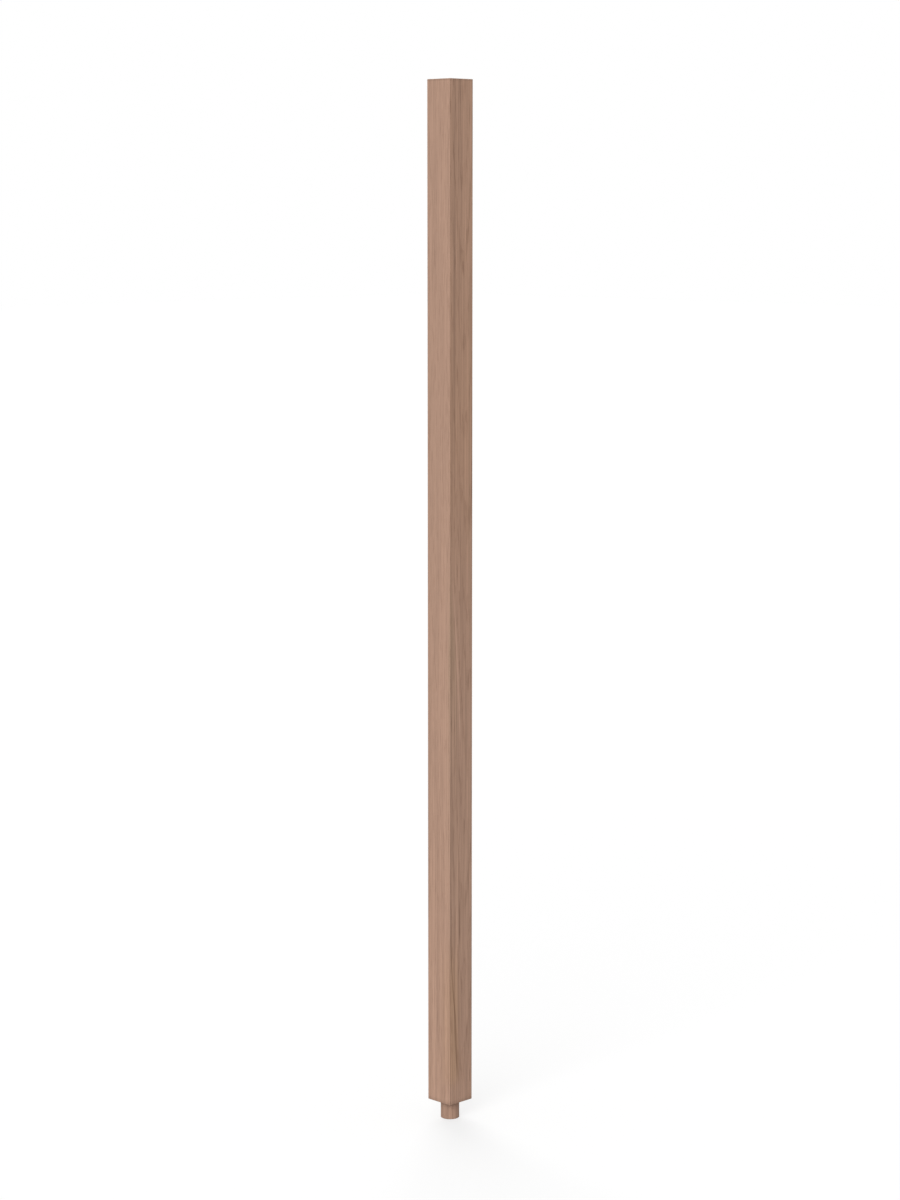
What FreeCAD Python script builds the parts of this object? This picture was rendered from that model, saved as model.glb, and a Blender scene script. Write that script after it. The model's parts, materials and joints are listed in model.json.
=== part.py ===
"""Square stair baluster with a turned pin on its lower end, milled in one piece from a length of red oak.

Sizes are in millimetres. +Z runs up the baluster, and the flats of its square section face X and Y. The origin
is the middle of the shoulder, the square end that sits on the tread, so the pin that enters the tread lies below.
"""

import FreeCAD, Part
import os

# Square bar
SIDE = 31.75  # across the flats: 1-1/4 in stock
OVERALL_LENGTH = 1054.1  # from the pin's end to the top end: 41-1/2 in
EDGE_EASE = 0.4  # radius that sanding leaves on the bar's edges, about 1/64 in

# Turned pin
PIN_DIAMETER = 19.05  # enters a 3/4 in hole in the tread
PIN_LENGTH = 19.05  # from the shoulder to the pin's end
PIN_CHAMFER = 0.3  # takes the sharp edge off the pin's end

UP = FreeCAD.Vector(0, 0, 1)
AXIS_POINT = FreeCAD.Vector(0, 0, 0)


def square_bar():
    """The square length above the shoulder: a section drawn on the shoulder, extruded, with every edge eased."""
    half = SIDE / 2
    corners = [
        FreeCAD.Vector(-half, -half, 0),
        FreeCAD.Vector(half, -half, 0),
        FreeCAD.Vector(half, half, 0),
        FreeCAD.Vector(-half, half, 0),
    ]
    section = Part.Face(Part.makePolygon(corners + corners[:1]))
    bar = section.extrude(UP * (OVERALL_LENGTH - PIN_LENGTH))
    return bar.makeFillet(EDGE_EASE, bar.Edges)


def turned_pin():
    """The round tenon below the shoulder: a half profile beside the axis, turned through a full circle."""
    radius = PIN_DIAMETER / 2
    profile = [
        AXIS_POINT,
        FreeCAD.Vector(radius, 0, 0),
        FreeCAD.Vector(radius, 0, PIN_CHAMFER - PIN_LENGTH),
        FreeCAD.Vector(radius - PIN_CHAMFER, 0, -PIN_LENGTH),
        FreeCAD.Vector(0, 0, -PIN_LENGTH),
    ]
    half_section = Part.Face(Part.makePolygon(profile + profile[:1]))
    return half_section.revolve(AXIS_POINT, UP, 360)


def baluster():
    """Bar and pin as the one piece of wood that they are, with the square shoulder left flat round the pin."""
    return square_bar().fuse(turned_pin()).removeSplitter()


os.makedirs("parts", exist_ok=True)
piece = baluster()
piece.exportStep("parts/baluster.step")
print(f"baluster: {len(piece.Solids)} solid, {piece.Volume / 1000:.1f} cm3, {piece.BoundBox.ZLength:.2f} mm long")
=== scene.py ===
# %% [markdown]
# # A square oak stair baluster with a turned pin
#
# The real thing is one length of red oak, milled square, sanded bare and left unfinished. Its lower
# end is turned down to a short round pin that is glued into a hole in the stair tread. This lesson
# builds it as one mesh, gives it a solid oak that is cut by every face, and photographs it
# corner-on in soft studio light.
#
# The imported part comes first. It is the fixed frame that everything else has to fit.

import json
import math

import bmesh
import bpy
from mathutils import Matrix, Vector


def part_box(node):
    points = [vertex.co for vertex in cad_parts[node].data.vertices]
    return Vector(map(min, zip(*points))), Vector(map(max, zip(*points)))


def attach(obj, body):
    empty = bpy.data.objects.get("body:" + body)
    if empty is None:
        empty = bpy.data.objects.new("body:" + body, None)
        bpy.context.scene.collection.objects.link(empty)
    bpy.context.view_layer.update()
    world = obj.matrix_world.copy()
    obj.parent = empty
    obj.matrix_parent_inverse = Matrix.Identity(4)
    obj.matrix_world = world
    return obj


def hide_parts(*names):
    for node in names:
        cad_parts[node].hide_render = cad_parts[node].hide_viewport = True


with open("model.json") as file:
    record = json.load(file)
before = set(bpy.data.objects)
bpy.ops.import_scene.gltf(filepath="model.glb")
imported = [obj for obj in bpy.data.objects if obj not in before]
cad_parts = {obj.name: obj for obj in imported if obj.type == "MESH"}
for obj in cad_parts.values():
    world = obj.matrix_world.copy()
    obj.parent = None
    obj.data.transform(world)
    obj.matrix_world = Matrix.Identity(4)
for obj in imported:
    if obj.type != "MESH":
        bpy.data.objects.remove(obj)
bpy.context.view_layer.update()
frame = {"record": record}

# %% [markdown]
# ## Sizes
#
# The part's own solid already says how wide, how tall and how long everything is. The numbers could
# be typed in again here, but reading them keeps the mesh and the solid the same size if the part
# ever changes. Blender counts in metres, and MM is how many millimetres there are in one. Only one
# small size is written here: how far sandpaper rounds an edge.

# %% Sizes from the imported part
MM = 1000.0
EDGE_EASE = 0.0004

low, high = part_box("baluster")
side = high.x - low.x
bar_top = high.z
pin_end = low.z
mounts = frame["record"]["mounts"]
pin_sizes = next(mount["dims"] for mount in mounts if mount["name"] == "bottom_pin")
pin_radius = pin_sizes["r_mm"] / MM
pin_chamfer = -pin_end - pin_sizes["length_mm"] / MM
print(f"bar {side * MM:.2f} mm square and {bar_top * MM:.2f} mm tall")
print(f"pin {pin_radius * 2 * MM:.2f} mm thick and {-pin_end * MM:.2f} mm long,",
      f"with a {pin_chamfer * MM:.2f} mm chamfer")

# %% [markdown]
# ## The square bar
#
# A moulder planes the bar square, and sanding then takes the sharpness off its twelve edges. The
# bar starts as a cube at the bar's size. A bevel over all its edges is the sanding: a few segments
# are enough for so small a round. The scale is applied first, because a bevel on a stretched object
# comes out stretched too.

# %% Plane the bar and ease its edges
EASE_SEGMENTS = 4
ROUND_PROFILE = 0.5


def edit(piece):
    """Opens a piece in edit mode, with nothing in it selected."""
    bpy.context.view_layer.objects.active = piece
    bpy.ops.object.mode_set(mode="EDIT")
    bpy.ops.mesh.select_all(action="DESELECT")


bpy.ops.object.select_all(action="DESELECT")
bpy.ops.mesh.primitive_cube_add(
    size=1, location=(0, 0, bar_top / 2), scale=(side, side, bar_top))
baluster = bpy.context.object
baluster.name = "oak_baluster"
bpy.ops.object.transform_apply(location=True, rotation=True, scale=True)

edit(baluster)
bpy.ops.mesh.select_all(action="SELECT")
bpy.ops.mesh.bevel(
    offset=EDGE_EASE, segments=EASE_SEGMENTS, profile=ROUND_PROFILE, affect="EDGES")
bpy.ops.object.mode_set(mode="OBJECT")
print("eased bar:", len(baluster.data.polygons), "faces")

# %% [markdown]
# ## An opening in the shoulder
#
# The square end round the pin is called the shoulder, and it rests on the tread. The pin has to
# grow out of its middle. A Boolean union would join the two, but it leaves long slivers of faces on
# the flat. So the end face is inset to a smaller square instead, and its middle is removed. Each
# side of that square is then divided, so that the opening has as many points as the round pin will
# have.

# %% Open the shoulder
PIN_POINTS = 96
HALF_OPENING = 0.0125
FACING_DOWN = -0.999


def choose(piece, kind, test):
    """Selects the faces, edges or vertices of the piece in edit mode that pass a test."""
    bpy.ops.mesh.select_mode(type={"faces": "FACE", "edges": "EDGE", "verts": "VERT"}[kind])
    bpy.ops.mesh.select_all(action="DESELECT")
    mesh = bmesh.from_edit_mesh(piece.data)
    chosen = [item for item in getattr(mesh, kind) if test(item)]
    for item in chosen:
        item.select_set(True)
    bmesh.update_edit_mesh(piece.data)
    return len(chosen)


edit(baluster)
choose(baluster, "faces", lambda face: face.normal.z < FACING_DOWN)
bpy.ops.mesh.inset(thickness=side / 2 - EDGE_EASE - HALF_OPENING)
bpy.ops.mesh.delete(type="ONLY_FACE")
opening_edges = choose(baluster, "edges", lambda edge: edge.is_boundary)
bpy.ops.mesh.subdivide(number_cuts=PIN_POINTS // opening_edges - 1)
opening_points = choose(baluster, "verts", lambda vert: vert.is_boundary)
bpy.ops.object.mode_set(mode="OBJECT")
print("opening:", opening_edges, "sides,", opening_points, "points")

# %% [markdown]
# ## The turned pin
#
# A hollow cutter spins round the end of the bar and feeds towards the shoulder, and it leaves fine
# rings on the pin. The pin could be spun from a profile, but a ring of points that is pulled down
# step by step is closer to how it is cut. Each step goes down by one feed and alternates between
# the full radius and a hair less. The last step narrows to a light chamfer that takes the sharp
# edge off. The end is closed and inset twice, so that its face with many corners is only a small
# one in the middle. All of it is made a millimetre too low, for a reason that the next step gives.

# %% Turn the pin
FEEDS = 24
RING_DEPTH = 0.00004
PIN_DROP = 0.001
END_INSETS = (0.6, 0.2)


def pull_ring(depth, ratio):
    """Extrudes the selected ring of edges downwards and scales it about the pin's axis."""
    bpy.ops.mesh.extrude_edges_move(TRANSFORM_OT_translate={"value": (0, 0, -depth)})
    bpy.ops.transform.resize(value=(ratio, ratio, 1), center_override=(0, 0, 0))


wall = -pin_end - pin_chamfer
groove = 1 - RING_DEPTH / pin_radius
edit(baluster)
bpy.ops.mesh.select_mode(type="EDGE")
bpy.ops.mesh.primitive_circle_add(
    vertices=PIN_POINTS, radius=pin_radius, fill_type="NOTHING", location=(0, 0, -PIN_DROP))
for feed in range(FEEDS):
    pull_ring(wall / FEEDS, groove if feed % 2 == 0 else 1 / groove)
pull_ring(pin_chamfer, 1 - pin_chamfer / pin_radius)
bpy.ops.mesh.edge_face_add()
for share in END_INSETS:
    bpy.ops.mesh.inset(thickness=pin_radius * share)
bpy.ops.object.mode_set(mode="OBJECT")
print("pin:", FEEDS, "feeds of", round(wall / FEEDS * MM, 2), "mm")

# %% [markdown]
# ## Shoulder to pin
#
# The square opening and the round pin now have the same number of points. Filling the gap face by
# face would take all day. A bridge between the two loops closes it in one go, but with both loops
# in one plane it cannot tell which way round to join them, and may turn the pin inside out. So the
# bridge comes first, and then the low pin is pushed up until its ring lies in the shoulder. The
# pin's edges at the chamfer get a small bevel of their own, as a touch of sandpaper gives them. The
# volume says at the end whether all faces look outwards.

# %% Close the shoulder
CHAMFER_EASE = 0.00008
CHAMFER_SEGMENTS = 2
SHARP_RADIANS = 0.5
SAME_HEIGHT = 1e-6
SAME_POINT = 1e-7


def at_height(edge, height):
    """True for an edge that lies level at a height."""
    return all(abs(vert.co.z - height) < SAME_HEIGHT for vert in edge.verts)


def is_chamfer_edge(edge):
    """True for the two rings of edges at the chamfer, above it and at the pin's end."""
    is_end_edge = at_height(edge, pin_end) and edge.calc_face_angle(0) > SHARP_RADIANS
    return at_height(edge, -wall) or is_end_edge


edit(baluster)
loop_edges = choose(baluster, "edges", lambda edge: edge.is_boundary)
bpy.ops.mesh.bridge_edge_loops()
choose(baluster, "verts", lambda vert: vert.co.z < -PIN_DROP / 2)
bpy.ops.transform.translate(value=(0, 0, PIN_DROP))
chamfer_edges = choose(baluster, "edges", is_chamfer_edge)
bpy.ops.mesh.bevel(
    offset=CHAMFER_EASE, segments=CHAMFER_SEGMENTS, profile=ROUND_PROFILE, affect="EDGES")
bpy.ops.mesh.select_all(action="SELECT")
bpy.ops.mesh.remove_doubles(threshold=SAME_POINT)
bpy.ops.mesh.normals_make_consistent(inside=False)
open_edges = choose(baluster, "edges", lambda edge: not edge.is_manifold)
volume = bmesh.from_edit_mesh(baluster.data).calc_volume(signed=True)
bpy.ops.object.mode_set(mode="OBJECT")
print("bridged", loop_edges, "edges, rounded", chamfer_edges, "and left open", open_edges)
print(f"volume {volume * 1e6:.1f} cm3")

# %% [markdown]
# ## Shading
#
# Smooth shading hides the facets of the pin and of the eased edges, but it would also bend the
# light over the wide flats, because a flat shares its corner points with the rounds beside it.
# Smoothing by angle keeps the shoulder crisp, and the Weighted Normal modifier lets the large faces
# rule, so the flats stay flat.

# %% Smooth the rounds and keep the flats flat
SMOOTH_BELOW = 35.0

bpy.ops.object.select_all(action="DESELECT")
baluster.select_set(True)
bpy.context.view_layer.objects.active = baluster
bpy.ops.object.shade_smooth_by_angle(angle=math.radians(SMOOTH_BELOW))
bpy.ops.object.modifier_add(type="WEIGHTED_NORMAL")
baluster.modifiers[-1].keep_sharp = True
bpy.ops.object.modifier_apply(modifier=baluster.modifiers[-1].name)
print("finished mesh:", len(baluster.data.polygons), "faces")

# %% [markdown]
# ## Writing shader maths as sums
#
# Oak is a solid with a pattern in it, and every face of the baluster is a cut through that solid.
# Such a pattern is arithmetic on the point that is being shaded. Placing dozens of Math nodes by
# hand is hard to read, so this small class wraps a socket: a sum in Python adds the nodes, and one
# method adds every other kind of node.

# %% A wire that can be added and multiplied
class Wire:
    """The output of a shader node. Arithmetic on it adds Math nodes to its tree."""

    def __init__(self, tree, socket=None):
        self.tree = tree
        self.socket = socket

    def node(self, kind, settings=None, sockets=None, out=0):
        """Adds a node of a type: first its settings, then the values or links of its sockets."""
        made = self.tree.nodes.new(kind)
        for name, value in (settings or {}).items():
            setattr(made, name, value)
        for name, value in (sockets or {}).items():
            if isinstance(value, Wire):
                self.tree.links.new(value.socket, made.inputs[name])
            else:
                made.inputs[name].default_value = value
        return Wire(self.tree, made.outputs[out] if made.outputs else None)

    def output(self, name):
        """Another output of the same node."""
        return Wire(self.tree, self.socket.node.outputs[name])

    def math(self, operation, first, second=0.0):
        """A Math node on two values."""
        return self.node("ShaderNodeMath", {"operation": operation}, {0: first, 1: second})

    def __add__(self, other):
        return self.math("ADD", self, other)

    def __sub__(self, other):
        return self.math("SUBTRACT", self, other)

    def __rsub__(self, other):
        return self.math("SUBTRACT", other, self)

    def __mul__(self, other):
        return self.math("MULTIPLY", self, other)

    def __truediv__(self, other):
        return self.math("DIVIDE", self, other)

    def __rtruediv__(self, other):
        return self.math("DIVIDE", other, self)

    def __abs__(self):
        return self.math("ABSOLUTE", self)

    __radd__ = __add__
    __rmul__ = __mul__

    def rise(self, start, end):
        """A soft step from 0 to 1 as the value goes from start to end."""
        return self.node("ShaderNodeMapRange", {"interpolation_type": "SMOOTHSTEP"},
                         {"Value": self, "From Min": start, "From Max": end})

    def fall(self, start, end):
        """A soft step from 1 to 0 as the value goes from start to end."""
        return 1 - self.rise(start, end)

    def bell(self, middle, width):
        """1 where the value is at the middle, a half at a width to either side, fading beyond."""
        away = (self - middle) / width
        return 1 / (away * away + 1)


def new_material(name):
    """An empty material and the first wire in its tree."""
    material = bpy.data.materials.new(name)
    material.use_nodes = True
    material.node_tree.nodes.clear()
    return material, Wire(material.node_tree)


oak, oak_nodes = new_material("red_oak")
print("empty material:", oak.name)

# %% [markdown]
# ## A point in the wood
#
# Object coordinates are fixed to the piece, so a pattern on them goes right through it and meets at
# every edge, as real grain does. They are turned into millimetres here, the unit that a woodworker
# measures grain in. Fibres run along the bar, so a noise that is drawn out along Z is the raw stuff
# of all the streaks to come. Where such a noise passes through zero it draws thin lines that wander
# and meet, like the lines of a grain, so one set is kept for dark lines and one for pale lines. The
# shift of each noise only picks the stretch of it that suits this bar.

# %% Millimetres and drawn-out noise
LINE_CORE = 0.02
LINE_EDGE = 0.14

metres = oak_nodes.node("ShaderNodeTexCoord", out="Object")
point = oak_nodes.node("ShaderNodeVectorMath", {"operation": "SCALE"}, {0: metres, "Scale": MM})
x = oak_nodes.node("ShaderNodeSeparateXYZ", None, {0: point})
y = x.output("Y")
z = x.output("Z")


def grain_noise(size, detail, shift):
    """Noise from -1 to 1 in spots of a size in millimetres along X, Y and Z."""
    scale = tuple(1 / length for length in size)
    stretched = oak_nodes.node("ShaderNodeVectorMath", {"operation": "MULTIPLY_ADD"},
                               {0: point, 1: scale, 2: shift})
    noise = oak_nodes.node("ShaderNodeTexNoise", None,
                           {"Vector": stretched, "Scale": 1.0, "Detail": detail})
    return noise * 2 - 1


def zero_lines(noise):
    """1 on the thin lines where a noise passes through zero."""
    return abs(noise).fall(LINE_CORE, LINE_EDGE)


fine_fibres = grain_noise(size=(0.8, 0.8, 40), detail=1, shift=(3.3, 9.1, 2.2))
streaks = grain_noise(size=(2.2, 1.4, 70), detail=2, shift=(0.3, 81.6, 60.4))
long_streaks = grain_noise(size=(4.0, 2.4, 420), detail=2, shift=(15.5, 16.3, 54.3))
drift = grain_noise(size=(30, 30, 330), detail=1, shift=(2.9, 5.3, 8.8))
dark_lines = zero_lines(grain_noise(size=(5.0, 4.5, 520), detail=1, shift=(82.3, 22.9, 37.4)))
pale_lines = zero_lines(grain_noise(size=(4.5, 3.6, 380), detail=1, shift=(70.1, 80.0, 58.8)))
print("drawn-out noises:", len(oak.node_tree.nodes), "nodes so far")

# %% [markdown]
# ## Where the bar lay in the tree
#
# Red oak shows its growth rings as bands. On a face that is cut along the radius of the tree they
# are fine straight lines, and on a face that is cut across it they open into tall pointed arches.
# Both could be painted one face at a time, but one set of rings gives both if the heart of the tree
# is placed beside the bar. Here it lies beyond the -X side, leans a little and bows, so the +X face
# gets the arches and the Y faces get the lines.

# %% Distance from the heart
HEART_X = -64.0
LEAN = 1 / 74
BOW = 11.0
BOW_HEIGHT = 454.0
BOW_LENGTH = 200.0

from_heart_x = x - (z * LEAN + HEART_X)
from_heart_y = y - z.bell(BOW_HEIGHT, BOW_LENGTH) * BOW
radius = oak_nodes.math("SQRT", from_heart_x * from_heart_x + from_heart_y * from_heart_y)
print("heart of the tree", -HEART_X, "mm beside the axis, bowed by", BOW, "mm")

# %% [markdown]
# ## Growth rings
#
# Each year's ring starts with open spring wood and ends in dense late wood. Evenly spaced rings
# would look printed, so a noise along the radius makes some years wider than others, and a slow and
# a quicker noise make every ring wander. A random number for each year says how strongly its spring
# wood shows.

# %% Growth rings
RING_WIDTH = 1.1
FIRST_YEAR = -0.15
SLOW_WANDER = 0.5
QUICK_WANDER = 0.2
UNEVEN_YEARS = 0.5
UNEVEN_SPAN = 5.0
SPRING_FULL = 0.06
SPRING_FADES = 0.25
SPRING_ENDS = 0.5

slow_wander = grain_noise(size=(24, 24, 260), detail=1, shift=(1.7, 4.2, 0.3)) * SLOW_WANDER
quick_wander = grain_noise(size=(5, 5, 90), detail=1, shift=(8.1, 2.6, 5.5)) * QUICK_WANDER
wander = slow_wander + quick_wander
uneven = oak_nodes.node("ShaderNodeTexNoise", {"noise_dimensions": "1D"},
                        {"W": radius / UNEVEN_SPAN, "Scale": 1.0, "Detail": 1})
years = (radius + wander) / RING_WIDTH + uneven * UNEVEN_YEARS + FIRST_YEAR
year = oak_nodes.math("FLOOR", years)
season = years - year
spring_wood = season.rise(0, SPRING_FULL) * season.fall(SPRING_FADES, SPRING_ENDS)
year_weight = oak_nodes.node("ShaderNodeTexWhiteNoise", {"noise_dimensions": "1D"}, {"W": year})
print("rings of", RING_WIDTH, "mm, about", round(side * MM / RING_WIDTH), "across the bar")

# %% [markdown]
# ## A dark ring and a pale ring
#
# Near the pin, one dark line leaves the front edge and slants down the +X face, swells out once and
# fades above the shoulder: minerals from the soil have stained one growth ring there. At mid-height
# a pale ring slants down the same face. Lines could be drawn on the face, but a thin shell at one
# radius from the heart shows up wherever the bar cuts it, on both sides of the edge, and slants as
# the rings do.

# %% Mineral streak and pale streak
SHELL_CORE = 0.04
SHELL_EDGE = 0.24
SHELL_WANDER = 0.3
STAIN_RADIUS = 79.75
STAIN_BOTTOM = 12.0
STAIN_TOP = 192.0
STAIN_FADES = (-4.0, 1.0)
STAIN_LOSS = 0.75
BULGE = 0.37
BULGE_HEIGHT = 95.0
BULGE_LENGTH = 25.0
PALE_RADIUS = 75.5
PALE_BOTTOM = 370.0
PALE_TOP = 550.0
PALE_STARTS = (-14.0, -11.0)


def thin_shell(shell_radius):
    """1 on a thin shell at a radius from the heart."""
    return abs(radius + wander * SHELL_WANDER - shell_radius).fall(SHELL_CORE, SHELL_EDGE)


def stretch(bottom, top, low_fade, high_fade):
    """1 along a stretch of the bar, fading out towards both of its ends."""
    return z.rise(bottom, bottom + low_fade) * z.fall(top - high_fade, top)


swelling = z.bell(BULGE_HEIGHT, BULGE_LENGTH) * BULGE
stained_part = stretch(STAIN_BOTTOM, STAIN_TOP, low_fade=40, high_fade=36)
stain = thin_shell(STAIN_RADIUS - swelling) * stained_part * (1 - y.rise(*STAIN_FADES) * STAIN_LOSS)
pale_part = stretch(PALE_BOTTOM, PALE_TOP, low_fade=30, high_fade=60)
pale_ring = thin_shell(PALE_RADIUS) * pale_part * y.rise(*PALE_STARTS)
print("mineral streak from", STAIN_BOTTOM, "to", STAIN_TOP, "mm above the shoulder")
print("pale streak from", PALE_BOTTOM, "to", PALE_TOP, "mm")

# %% [markdown]
# ## Two flecks
#
# Beside the upper end of the mineral streak lie two short dark flecks, one of them faint. They
# follow the fibres and not the rings, so they run straight down. Each is a line at one place across
# the +X face, and it goes only some millimetres deep, so that it doesn't come out on the far side.

# %% Flecks beside the mineral streak
FLECK_CORE = 0.3
FLECK_EDGE = 1.3
FLECK_FADE = 24.0
FLECK_DEPTH = (8.0, 14.0)
FAINT = 0.45


def fleck(place, bottom, top):
    """1 on a short line along the fibres, just under the +X face."""
    line = abs(y - place).fall(FLECK_CORE, FLECK_EDGE)
    return line * stretch(bottom, top, FLECK_FADE, FLECK_FADE) * x.rise(*FLECK_DEPTH)


bold_fleck = fleck(place=-2.0, bottom=158, top=222)
faint_fleck = fleck(place=-8.6, bottom=145, top=215) * FAINT
flecks = bold_fleck + faint_fleck
print("flecks:", len(oak.node_tree.nodes), "nodes so far")

# %% [markdown]
# ## Pores and rays
#
# Spring wood is full of pores: tubes a third of a millimetre wide that a face cuts into short dark
# dashes. Voronoi cells stretched along the grain, kept only near their middles, are such tubes.
# Rays are thin plates that run out from the heart, so their cells are laid out by angle and radius.
# An end cuts the pores into dots without any more work, but it cuts hundreds of thinner rays too,
# so it gets finer spokes of its own.

# %% Pores and rays
PORE_SPACING = 0.55
PORE_LENGTH = 30.0
PORE_SIZE = 0.14
PORE_GROWTH = 0.20
PORE_EDGE = 0.06
RAY_SPACING = 1.7
RAY_LENGTH = 30.0
RAY_HEIGHT = 16.0
RAY_SIZE = (0.10, 0.22)
SPOKE_SPACING = 0.8
SPOKE_SIZE = (0.08, 0.20)


def cells(vector, dimensions="3D"):
    """Distance to the nearest of a scatter of points."""
    return oak_nodes.node("ShaderNodeTexVoronoi", {"voronoi_dimensions": dimensions},
                          {"Vector": vector, "Scale": 1.0}, out="Distance")


pore_scale = (1 / PORE_SPACING, 1 / PORE_SPACING, 1 / PORE_LENGTH)
pore_room = oak_nodes.node("ShaderNodeVectorMath", {"operation": "MULTIPLY"},
                           {0: point, 1: pore_scale})
pore_size = spring_wood * PORE_GROWTH + PORE_SIZE
pores = cells(pore_room).fall(pore_size - PORE_EDGE, pore_size + PORE_EDGE)

angle = oak_nodes.math("ARCTAN2", from_heart_y, from_heart_x)
outward = radius / RAY_LENGTH
ray_room = oak_nodes.node("ShaderNodeCombineXYZ", None, {
    "X": angle * (-HEART_X / RAY_SPACING), "Y": outward, "Z": z / RAY_HEIGHT})
rays = cells(ray_room).fall(*RAY_SIZE)
spoke_room = oak_nodes.node("ShaderNodeCombineXYZ", None, {
    "X": angle * (-HEART_X / SPOKE_SPACING), "Y": outward})
spokes = cells(spoke_room, "2D").fall(*SPOKE_SIZE)
print("oak pattern:", len(oak.node_tree.nodes), "nodes so far")

# %% [markdown]
# ## Three kinds of cut
#
# The same wood looks different on its three kinds of cut: flat-sawn on the X faces, along the
# radius on the Y faces, and across the fibres on the ends. Each could have a material of its own,
# but then the look would change in one step at every edge. One material can tell the faces apart by
# their normals, and changes over softly where an edge is rounded.

# %% Tell the faces apart
END_TILT = (0.6, 0.9)

facing = oak_nodes.node("ShaderNodeSeparateXYZ", None, {0: metres.output("Normal")})
flat_sawn = facing * facing
end_grain = abs(facing.output("Z")).rise(*END_TILT)
print("faces told apart:", len(oak.node_tree.nodes), "nodes so far")

# %% [markdown]
# ## The colour of bare oak
#
# Bare sanded red oak is a pinkish tan. Late wood is the lightest, spring wood a little browner and
# pores the darkest. Rays are dark flecks on a long face and pale spokes on an end. The colours are
# laid over each other from the widest pattern to the finest, each as strongly as it shows on the
# real wood.

# %% Blend the woods
LATE_WOOD = (0.440, 0.275, 0.200, 1)
SPRING_WOOD = (0.376, 0.230, 0.161, 1)
STAIN_BROWN = (0.230, 0.135, 0.088, 1)
PALE_WOOD = (0.550, 0.350, 0.258, 1)
RAY_BROWN = (0.391, 0.234, 0.161, 1)
RAY_PALE = (0.530, 0.370, 0.285, 1)
PORE_BROWN = (0.160, 0.085, 0.055, 1)
SPRING_STRENGTH = 0.6
SPRING_LOSS_FLAT = 0.25
SPRING_GAIN_END = 0.3
STAIN_STRENGTH = 0.72
PALE_STRENGTH = 0.9
RAY_STRENGTH = 0.35
SPOKE_STRENGTH = 0.4
PORE_STRENGTH = 0.5
PORE_GAIN_END = 0.25


def blend(factor, first, second, how="MIX"):
    """A colour between two colours, or the first one multiplied by the second."""
    return oak_nodes.node("ShaderNodeMix", {"data_type": "RGBA", "blend_type": how},
                          {0: factor, 6: first, 7: second}, out=2)


year_strength = year_weight * (SPRING_STRENGTH - flat_sawn * SPRING_LOSS_FLAT)
wood = blend(spring_wood * (year_strength + end_grain * SPRING_GAIN_END), LATE_WOOD, SPRING_WOOD)
wood = blend((stain + flecks) * STAIN_STRENGTH, wood, STAIN_BROWN)
wood = blend(pale_ring * PALE_STRENGTH, wood, PALE_WOOD)
wood = blend(rays * (1 - end_grain) * RAY_STRENGTH, wood, RAY_BROWN)
wood = blend(spokes * end_grain * SPOKE_STRENGTH, wood, RAY_PALE)
wood = blend(pores * (end_grain * PORE_GAIN_END + PORE_STRENGTH), wood, PORE_BROWN)
print("wood colours:", len(oak.node_tree.nodes), "nodes so far")

# %% [markdown]
# ## Tints of this bar
#
# No length of oak has one tint all over. A flat-sawn face is a little more honey-coloured than a
# face along the radius, most of all in the calm wood above this bar's middle and in its upper half.
# Beside the mineral streak the wood is a shade more amber, and just outside the pale ring it is
# duller. A tint changes what is there, so it is multiplied with the colour and not laid over it.

# %% Tint the wood
HONEY = (1.01, 0.97, 0.90, 1)
HONEY_ALL_OVER = 0.06
HONEY_IN_CALM = 0.5
HONEY_ABOVE = 0.35
CALM_HEIGHT = 672.0
CALM_LENGTH = 150.0
WARM_BOTTOM = 450.0
WARM_TOP = 800.0
AMBER = (1.02, 1.003, 0.915, 1)
AMBER_ALL_ROUND = 0.45
AMBER_FLAT = 0.55
AMBER_CORNER = (14.0, 26.0)
DULL = (0.91, 0.945, 0.92, 1)
DULL_HEIGHT = 470.0
DULL_LENGTH = 60.0
DULL_STARTS = 0.2
DULL_FULL = 1.0

calm = z.bell(CALM_HEIGHT, CALM_LENGTH)
warm = calm * HONEY_IN_CALM + z.rise(WARM_BOTTOM, WARM_TOP) * HONEY_ABOVE + HONEY_ALL_OVER
wood = blend(flat_sawn * warm, wood, HONEY, "MULTIPLY")

front_corner = (x - y).rise(*AMBER_CORNER)
beside_stain = front_corner * stretch(STAIN_BOTTOM, STAIN_TOP, low_fade=20, high_fade=80)
amber_share = beside_stain * (flat_sawn * AMBER_FLAT + AMBER_ALL_ROUND)
wood = blend(amber_share, wood, AMBER, "MULTIPLY")

beyond_pale = radius.rise(PALE_RADIUS + DULL_STARTS, PALE_RADIUS + DULL_FULL)
wood = blend(beyond_pale * z.bell(DULL_HEIGHT, DULL_LENGTH), wood, DULL, "MULTIPLY")
print("tinted wood:", len(oak.node_tree.nodes), "nodes so far")

# %% [markdown]
# ## Light and dark in the grain
#
# Streaks make the wood lighter and darker along its length, and a flat-sawn face shows them more
# boldly. They are liveliest near the pin and calmest above the middle. The +X face also gets a
# little painted shade towards the front edge and grows paler away from it. All of these only scale
# the colour, so they are added up to one number, which is applied at the end.

# %% Tone of the grain
FIBRE_TONE = 0.04
STREAK_TONE = 0.12
LINE_TONE = 0.055
BOLDER_FLAT = 0.7
LONG_TONE = 0.12
LONG_TONE_FLAT = 0.26
DRIFT_TONE = 0.02
# painted shade: the X faces are darker on the -Y side, by the front edge, and paler on the +Y side
PAINTED_SHADE_ACROSS = 0.04
LIVELY = 1.4
LIVELY_BELOW = (100.0, 500.0)
LIVELY_LOSS_ABOVE = 0.25
LIVELY_LOSS_IN_CALM = 0.5
END_LOSS = 0.6

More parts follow.
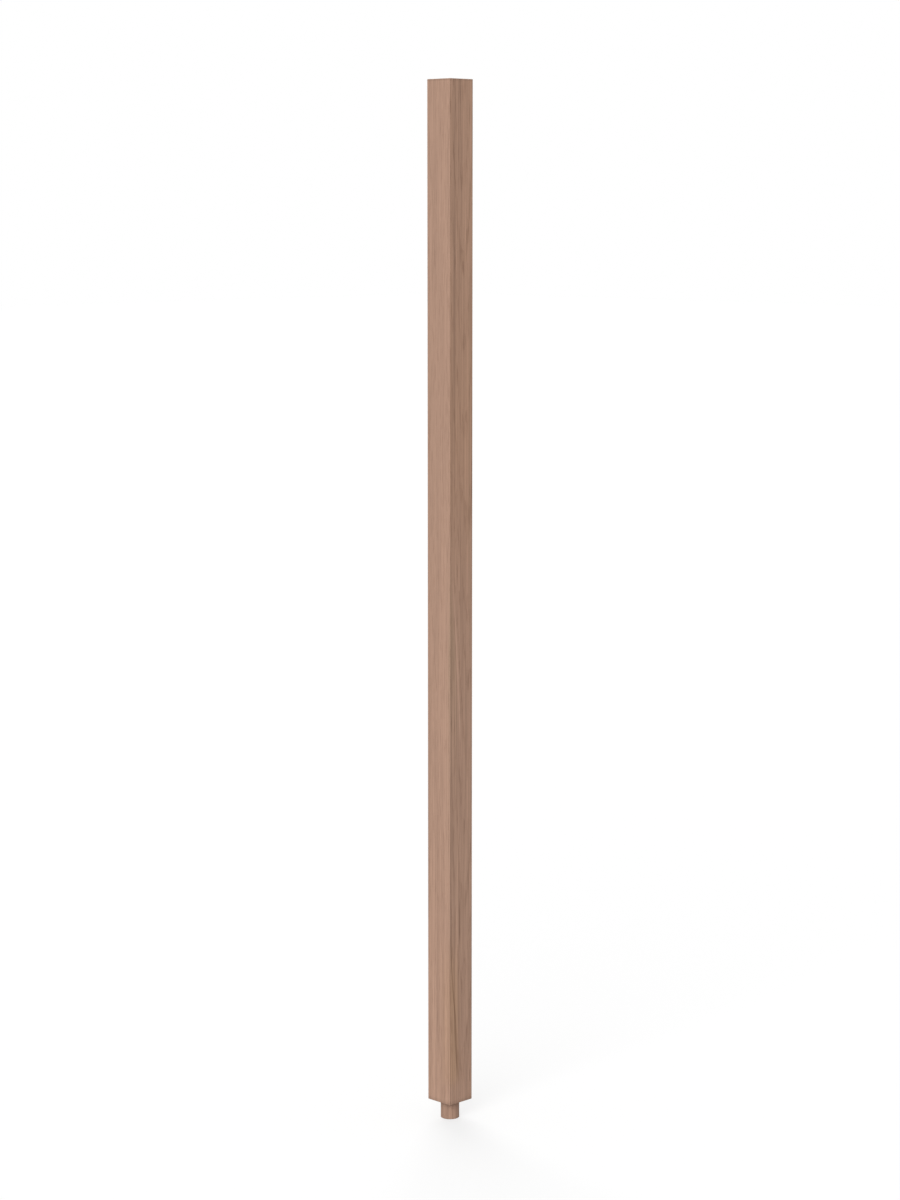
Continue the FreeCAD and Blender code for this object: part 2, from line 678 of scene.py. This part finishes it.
half_mm = side * MM / 2
liveliness = LIVELY - z.rise(*LIVELY_BELOW) * LIVELY_LOSS_ABOVE - calm * LIVELY_LOSS_IN_CALM
lines = pale_lines - dark_lines
short_grain = fine_fibres * FIBRE_TONE + streaks * STREAK_TONE + lines * LINE_TONE
long_grain = long_streaks * (flat_sawn * LONG_TONE_FLAT + LONG_TONE)
grain = short_grain * liveliness * (flat_sawn * BOLDER_FLAT + 1) + long_grain
# painted shade on the X faces, darker towards the front edge and paler away from it
painted_shade_across = y / half_mm * flat_sawn * PAINTED_SHADE_ACROSS
grain_and_painted_shade = 1 + grain * (1 - end_grain * END_LOSS) + drift * DRIFT_TONE + painted_shade_across
print("grain:", len(oak.node_tree.nodes), "nodes so far")

# %% [markdown]
# ## Ends and edges
#
# A cut end looks deeper than the long faces. A narrow band below the top and one above the
# shoulder are darker too, and so is the turned pin. Along the edges the Y faces get a painted
# highlight and the X faces a painted shade. These scale the colour too, so they are multiplied
# with the grain and applied together.

# %% Darken the ends and paint highlight and shade on the edges
TOP_BAND = (2.6, 0.8)
FOOT_EDGE = -0.4
FOOT_BAND = (0.8, 5.0)
PIN_ROOT = (-0.6, -0.2)
ARRIS_BAND = (1.0, 0.2)
END_SHADE = 0.12
BAND_SHADE = 0.16
PIN_SHADE = 0.12
# painted highlight along the edges of the Y faces, painted shade along the edges of the X faces
ARRIS_PAINTED_HIGHLIGHT = 0.05
ARRIS_PAINTED_SHADE_FLAT = 0.1

top_mm = bar_top * MM
# darker in a narrow band below the top, in one above the shoulder, and on the turned pin
top_band = z.rise(*(top_mm - depth for depth in TOP_BAND))
foot_band = z.rise(FOOT_EDGE, 0) * z.fall(*FOOT_BAND)
turned = z.fall(*PIN_ROOT)
nearness = oak_nodes.math("MINIMUM", abs(x), abs(y))
arris = nearness.rise(*(half_mm - depth for depth in ARRIS_BAND))

end_darkening = (1 - end_grain * END_SHADE) * (1 - (top_band + foot_band) * BAND_SHADE)
# painted highlight on the Y faces and painted shade on the X faces, near the edges
painted_edge_light = arris * (ARRIS_PAINTED_HIGHLIGHT - flat_sawn * ARRIS_PAINTED_SHADE_FLAT) + 1
darkening_and_painted_edge_light = end_darkening * (1 - turned * PIN_SHADE) * painted_edge_light
wood = oak_nodes.node("ShaderNodeVectorMath", {"operation": "SCALE"},
                      {0: wood, "Scale": grain_and_painted_shade * darkening_and_painted_edge_light})
print("shaded wood:", len(oak.node_tree.nodes), "nodes so far")

# %% [markdown]
# ## The surface, and the part that it stands for
#
# Bare wood hardly shines. Pores are open grooves, so they are rougher and dent the surface by a
# tenth of a millimetre, and rays are harder and a little smoother. A dent that small is best left
# to a Bump node. With its oak on, the mesh rides on the root body and takes the place of the
# imported solid, which is hidden.

# %% Bare sanded oak
SANDED = 0.66
ROUGHER_PORES = 0.2
SMOOTHER_RAYS = 0.08
PORE_DEPTH = 0.0001
FIBRE_RELIEF = 0.2
RELIEF = 0.35
GLOSS = 0.15

roughness = SANDED + pores * ROUGHER_PORES - rays * SMOOTHER_RAYS
relief = oak_nodes.node("ShaderNodeBump", None, {
    "Strength": RELIEF, "Distance": PORE_DEPTH, "Height": fine_fibres * FIBRE_RELIEF - pores})
surface = oak_nodes.node("ShaderNodeBsdfPrincipled", None, {
    "Base Color": wood, "Roughness": roughness, "Normal": relief, "Specular IOR Level": GLOSS})
oak_nodes.node("ShaderNodeOutputMaterial", None, {"Surface": surface})
baluster.data.materials.append(oak)

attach(baluster, "root")
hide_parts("baluster")
print("bare oak:", len(oak.node_tree.nodes), "nodes")

# %% [markdown]
# ## A white floor
#
# A studio shot like this has no visible floor: white paper runs from under the object up to the
# background. Lighting the paper until it is white would also light the wood far too much. So the
# paper is a plain grey to the light that falls on the baluster, and glows a little for the camera
# alone. It still darkens where the baluster shades it.

# %% Floor
FLOOR_SIZE = 40.0
PAPER_GREY = (0.3, 0.3, 0.3, 1)
PAPER_GLOW = 0.63
WHITE = (1, 1, 1, 1)


def seen_by_camera(nodes):
    """1 for what the camera sees, also in a gloss or through glass, and 0 for light on the wood."""
    path = nodes.node("ShaderNodeLightPath", out="Is Camera Ray")
    indirect = nodes.math(
        "MAXIMUM", path.output("Is Glossy Ray"), path.output("Is Transmission Ray"))
    return nodes.math("MAXIMUM", path, indirect)


bpy.ops.object.select_all(action="DESELECT")
bpy.ops.mesh.primitive_plane_add(size=FLOOR_SIZE, location=(0, 0, pin_end))
floor = bpy.context.object
floor.name = "floor"
paper, paper_nodes = new_material("white_paper")
matte = paper_nodes.node("ShaderNodeBsdfDiffuse", None, {"Color": PAPER_GREY})
glow = paper_nodes.node("ShaderNodeEmission", None, {
    "Color": WHITE, "Strength": seen_by_camera(paper_nodes) * PAPER_GLOW})
both = paper_nodes.node("ShaderNodeAddShader", None, {0: matte, 1: glow})
paper_nodes.node("ShaderNodeOutputMaterial", None, {"Surface": both})
floor.data.materials.append(paper)
print("floor at", round(pin_end * MM, 2), "mm, where the pin ends")

# %% [markdown]
# ## The room's own light
#
# Large white walls send soft light from everywhere, so no side of the baluster falls into darkness.
# A world colour does that without any walls. The camera sees it as pure white, and the wood gets
# about six tenths of that.

# %% World
AMBIENT = 0.61
PURE_WHITE = 1.0

world = bpy.data.worlds.new("studio")
bpy.context.scene.world = world
world.use_nodes = True
world.node_tree.nodes.clear()
sky_nodes = Wire(world.node_tree)
room = sky_nodes.node("ShaderNodeBackground", None, {"Color": WHITE, "Strength": AMBIENT})
white = sky_nodes.node("ShaderNodeBackground", None, {"Color": WHITE, "Strength": PURE_WHITE})
mixed = sky_nodes.node("ShaderNodeMixShader", None, {
    0: seen_by_camera(sky_nodes), 1: room, 2: white})
sky_nodes.node("ShaderNodeOutputWorld", None, {"Surface": mixed})
print("room light", AMBIENT)

# %% [markdown]
# ## Two soft lamps
#
# The face on the left is a third brighter than the one on the right, and both are even from end to
# end. A lamp close by would be brighter at one end, so the lamps are suns: their light is the same
# everywhere, and a wide angle makes their shadows soft. The key stands to the left of the camera.
# The other lamp keeps the back from going dull.

# %% Lamps
VIEW_AZIMUTH = 45.0


def distant_lamp(name, azimuth, elevation, level, spread):
    """A wide soft lamp far away. At level 1, a face turned to it renders its colour as written."""
    bpy.ops.object.light_add(
        type="SUN", rotation=(math.radians(90 - elevation), 0, math.radians(azimuth)))
    lamp = bpy.context.object
    lamp.name = name
    lamp.data.energy = level * math.pi
    lamp.data.angle = math.radians(spread)
    print(name, "at azimuth", azimuth, "and elevation", elevation)


distant_lamp("key_lamp", azimuth=VIEW_AZIMUTH - 19.5, elevation=28, level=0.636, spread=40)
distant_lamp("back_lamp", azimuth=VIEW_AZIMUTH + 190, elevation=35, level=0.60, spread=40)

# %% [markdown]
# ## The camera
#
# The photograph looks at the corner of the bar, from a little below its top. The sides of the bar
# come together slightly towards the bottom and the shoulder opens in a V, and together they say how
# far away and how high the camera stands, and how far it looks down.

# %% Camera
DISTANCE = 2.736
HEIGHT = 0.907
LOOK_DOWN = 8.055
LENS = 82.422
SENSOR = 36

azimuth = math.radians(VIEW_AZIMUTH)
bpy.ops.object.camera_add(
    location=(DISTANCE * math.sin(azimuth), -DISTANCE * math.cos(azimuth), HEIGHT),
    rotation=(math.radians(90 - LOOK_DOWN), 0, azimuth))
camera = bpy.context.object
camera.data.sensor_width = SENSOR
camera.data.lens = LENS
bpy.context.scene.camera = camera
bpy.context.scene.view_settings.view_transform = "Standard"
print("camera", DISTANCE, "m away,", HEIGHT, "m above the shoulder")
